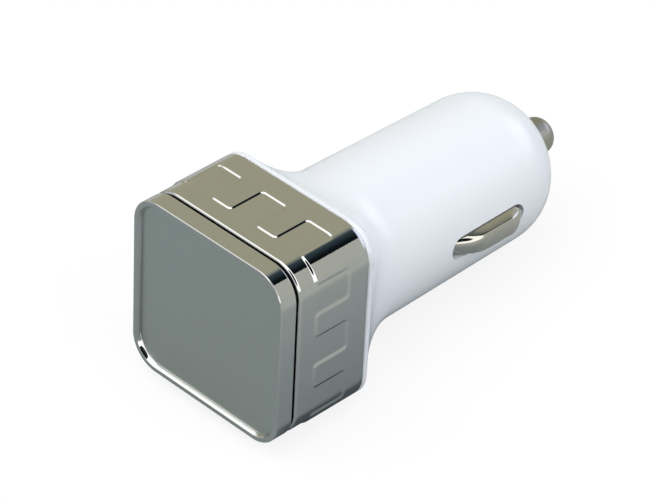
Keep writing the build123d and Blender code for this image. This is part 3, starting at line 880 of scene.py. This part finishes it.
# Tabletop.
# A pale sheet that the plug lies on, resting on its trim ring and the end of its barrel. It is white
# in the picture with a soft shadow; the polished parts mirror it as grey with painted shade, darker
# near the plug and paler to the right and behind, and with a painted shadow under the head.
REST_HEIGHT = -12.83
REST_ALONG = -0.75
REST_SLOPE = 0.0868
TABLE_HALF = 1000.0
TABLE_GREY = (0.26, 0.285, 0.3)
# Painted shade on the mirrored sheet: the colour near the plug is darker, and the one beyond it to the
# right and behind is paler.
TABLE_PAINTED_SHADE_NEAR = (0.348, 0.39, 0.394)
TABLE_FAR = (0.57, 0.585, 0.545)
TABLE_TO_RIGHT = (0.018, 0.05)
TABLE_TO_BACK = (0.014, 0.05)
# Painted shadow on the mirrored sheet under the head: its colour, and the edges of where it lies.
TABLE_SHADED = (0.14, 0.16, 0.17)
SHADE_FROM_LEFT = (-0.0168, -0.0138)
SHADE_FROM_RIGHT = (0.0168, 0.0138)
SHADE_FROM_FRONT = (-0.015, -0.009)
SHADE_FROM_BACK = (0.014, 0.008)
TABLE_WHITE = (0.95, 0.95, 0.95)
TABLE_GLOW = 0.85

table_mesh = bpy.data.meshes.new("tabletop")
table_corners = [
    (x * MM, y * MM, (REST_HEIGHT + REST_SLOPE * (y - REST_ALONG)) * MM)
    for x, y in (
        (-TABLE_HALF, -TABLE_HALF),
        (TABLE_HALF, -TABLE_HALF),
        (TABLE_HALF, TABLE_HALF),
        (-TABLE_HALF, TABLE_HALF),
    )
]
table_mesh.from_pydata(table_corners, [], [(0, 1, 2, 3)])
table = bpy.data.objects.new("tabletop", table_mesh)
bpy.context.scene.collection.objects.link(table)


def ramp(tree, value, start, end):
    """From 0 to 1 as a value goes from start to end, eased at both."""
    inputs = {"Value": value, "From Min": start, "From Max": end}
    return put(tree, "ShaderNodeMapRange", inputs, interpolation_type="SMOOTHSTEP").outputs[0]


def tint(tree, mask, under, over):
    """One colour laid over another where a mask is."""
    inputs = {"Fac": mask, "Color1": under, "Color2": over}
    return put(tree, "ShaderNodeMixRGB", inputs).outputs["Color"]


def product(tree, first, *others):
    """Several values multiplied together."""
    for other in others:
        first = put(tree, "ShaderNodeMath", {0: first, 1: other}, operation="MULTIPLY").outputs[0]
    return first


table_white = bpy.data.materials.new("tabletop_white")
table_white.use_nodes = True
tree = table_white.node_tree
tree.nodes.remove(tree.nodes["Principled BSDF"])
path = put(tree, "ShaderNodeLightPath").outputs
seen = path["Is Camera Ray"]
place = put(tree, "ShaderNodeTexCoord").outputs["Object"]
place = put(tree, "ShaderNodeSeparateXYZ", {0: place}).outputs
# Painted shade: the mirrored sheet goes from the darker colour near the plug to the paler one beyond it.
beyond = {0: ramp(tree, place["X"], *TABLE_TO_RIGHT), 1: ramp(tree, place["Y"], *TABLE_TO_BACK)}
beyond = put(tree, "ShaderNodeMath", beyond, operation="MAXIMUM").outputs[0]
mirrored_sheet = tint(tree, beyond, (*TABLE_PAINTED_SHADE_NEAR, 1), (*TABLE_FAR, 1))
# Painted shadow: the mirrored sheet is darkened under the head.
painted_shadow_beneath = product(
    tree,
    ramp(tree, place["X"], *SHADE_FROM_LEFT),
    ramp(tree, place["X"], *SHADE_FROM_RIGHT),
    ramp(tree, place["Y"], *SHADE_FROM_FRONT),
    ramp(tree, place["Y"], *SHADE_FROM_BACK),
)
mirrored_sheet = tint(tree, painted_shadow_beneath, mirrored_sheet, (*TABLE_SHADED, 1))
sheet_colour = tint(tree, path["Is Glossy Ray"], (*TABLE_GREY, 1), mirrored_sheet)
sheet_colour = tint(tree, seen, sheet_colour, (*TABLE_WHITE, 1))
matt = put(tree, "ShaderNodeBsdfDiffuse", {"Color": sheet_colour})
glow = put(tree, "ShaderNodeEmission", {"Color": (1, 1, 1, 1)})
glow_share = product(tree, seen, TABLE_GLOW)
sheet_look = put(tree, "ShaderNodeMixShader", {0: glow_share, 1: matt.outputs[0], 2: glow.outputs[0]})
tree.links.new(sheet_look.outputs[0], tree.nodes["Material Output"].inputs["Surface"])
table_mesh.materials.append(table_white)


# Room.
# A white light tent in front, with the dark opening that the picture is taken through. Behind it are
# a wall on the left, mirrored as a warm one, a pale wall on the right, a dark slit and a back light.
TENT_LIGHT = (2.06, 2.06, 2.05)
TENT_LOW_LIGHT = (0.86, 0.87, 0.88)
TENT_RISE = (0.05, 0.52)
TENT_LEAN = 0.5
BACK_LIGHT = (1.7, 1.83, 2.2)
BACK_EDGE_LINE = (0.63, 0.72)
BACK_RISE = (0.12, 0.36)
BACK_LEFT = (-0.2, 0.04)
LEFT_LIGHT = (0.58, 0.562, 0.415)
LEFT_FILL = (0.72, 0.735, 0.74)
RIGHT_LIGHT = (0.7, 0.71, 0.645)
SLIT_LIGHT = (0.05, 0.08, 0.1)
SLIT_DARK = (0.006, 0.009, 0.012)
SLIT_FADE = (0.0, 0.5)
TENT_EDGE = (0.18, 0.02)
TENT_SKEW = 0.3
SLIT_LEFT = (-0.28, 0.08)
SLIT_RIGHT = (0.61, 0.595)
OPENING = (0.5523, -0.5806, 0.5983)
OPENING_EDGE = (0.89, 0.91)

room = bpy.data.worlds.new("studio")
bpy.context.scene.world = room
room.use_nodes = True
tree = room.node_tree
toward = put(tree, "ShaderNodeTexCoord").outputs["Generated"]
part = put(tree, "ShaderNodeSeparateXYZ", {0: toward}).outputs
swing = put(tree, "ShaderNodeMath", {0: part["X"], 1: part["Z"]}, operation="ARCTAN2").outputs[0]
nearness = put(tree, "ShaderNodeVectorMath", {0: toward, 1: OPENING}, operation="DOT_PRODUCT")
nearness = nearness.outputs["Value"]
path = put(tree, "ShaderNodeLightPath").outputs
light = tint(tree, path["Is Glossy Ray"], (*LEFT_FILL, 1), (*LEFT_LIGHT, 1))
light = tint(tree, ramp(tree, swing, *SLIT_LEFT), light, (*RIGHT_LIGHT, 1))
slit = product(tree, ramp(tree, swing, *SLIT_LEFT), ramp(tree, swing, *SLIT_RIGHT))
slit_light = tint(tree, ramp(tree, swing, *SLIT_FADE), (*SLIT_LIGHT, 1), (*SLIT_DARK, 1))
light = tint(tree, slit, light, slit_light)
behind = product(
    tree,
    ramp(tree, part["Y"], *BACK_EDGE_LINE),
    ramp(tree, part["Z"], *BACK_RISE),
    ramp(tree, part["X"], *BACK_LEFT),
)
light = tint(tree, behind, light, (*BACK_LIGHT, 1))
leaning = {0: part["X"], 1: TENT_LEAN, 2: part["Z"]}
leaning = put(tree, "ShaderNodeMath", leaning, operation="MULTIPLY_ADD").outputs[0]
tent = tint(tree, ramp(tree, leaning, *TENT_RISE), (*TENT_LOW_LIGHT, 1), (*TENT_LIGHT, 1))
skewed = {0: part["X"], 1: -TENT_SKEW, 2: part["Y"]}
skewed = put(tree, "ShaderNodeMath", skewed, operation="MULTIPLY_ADD").outputs[0]
light = tint(tree, ramp(tree, skewed, *TENT_EDGE), light, tent)
light = tint(tree, ramp(tree, nearness, *OPENING_EDGE), light, (*SLIT_DARK, 1))
light = tint(tree, path["Is Camera Ray"], light, (1, 1, 1, 1))
tree.links.new(light, tree.nodes["Background"].inputs["Color"])


# Camera.
# Fitted to the photograph: a long lens from above the front right corner of the head.
CAMERA_AIM = (-3.399, 8.598, -2.929)
CAMERA_DISTANCE = 455.14
CAMERA_AZIMUTH = 43.568
CAMERA_ELEVATION = 36.748
CAMERA_ROLL = 2.788
CAMERA_LENS = 204.6726
CAMERA_SENSOR = 36.0
CAMERA_CLIP_START = 0.01

optics = bpy.data.cameras.new("camera")
optics.lens = CAMERA_LENS
optics.sensor_fit = "HORIZONTAL"
optics.sensor_width = CAMERA_SENSOR
optics.clip_start = CAMERA_CLIP_START
camera = bpy.data.objects.new("camera", optics)
facing = Matrix.Rotation(math.radians(CAMERA_AZIMUTH), 4, "Z")
facing @= Matrix.Rotation(math.radians(90 - CAMERA_ELEVATION), 4, "X")
facing @= Matrix.Rotation(math.radians(CAMERA_ROLL), 4, "Z")
backwards = facing.to_3x3() @ Vector((0, 0, 1))
standing = (Vector(CAMERA_AIM) + CAMERA_DISTANCE * backwards) * MM
camera.matrix_world = Matrix.Translation(standing) @ facing
bpy.context.scene.collection.objects.link(camera)
bpy.context.scene.camera = camera
bpy.context.scene.view_settings.view_transform = "Standard"
